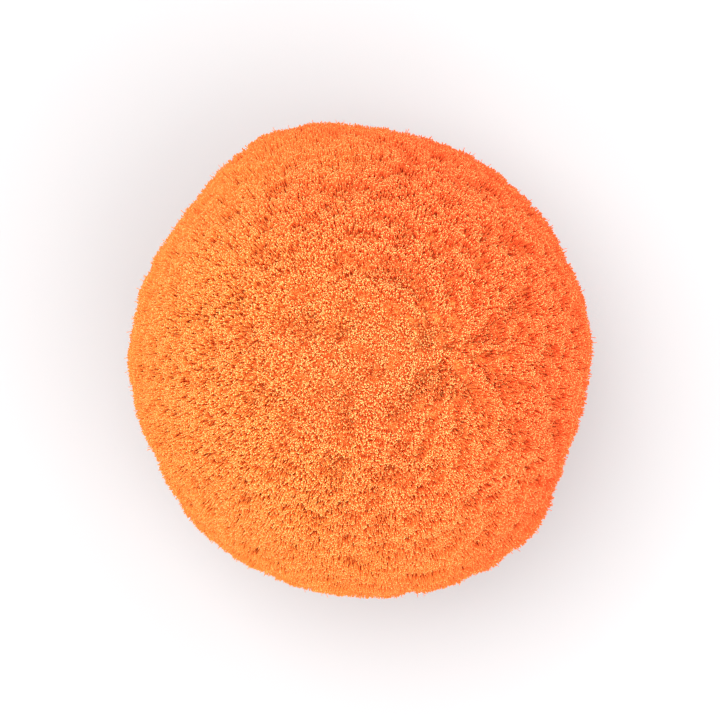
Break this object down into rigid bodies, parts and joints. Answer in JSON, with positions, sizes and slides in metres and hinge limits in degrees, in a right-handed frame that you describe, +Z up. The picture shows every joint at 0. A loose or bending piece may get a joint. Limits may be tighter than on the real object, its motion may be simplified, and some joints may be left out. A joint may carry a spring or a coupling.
{
  "type": "craft pompom",
  "caption": "Small round craft pompom: soft cut pile fans out from a tied middle and is clipped to a ball, with a small flat spot to rest on.",
  "frame": {"origin": "under the middle of the ball, on the surface that it rests on", "axes": "+Z up; +Y towards the fuller side of the clipped outline, which is the top of the picture"},
  "size_m": [0.0198, 0.0204, 0.0196],
  "materials": {
    "pile": "matt cut pile of fine crimped fibre in a warm peach orange"
  },
  "bodies": {
    "root": {"pile": "pile"}
  },
  "joints": []
}
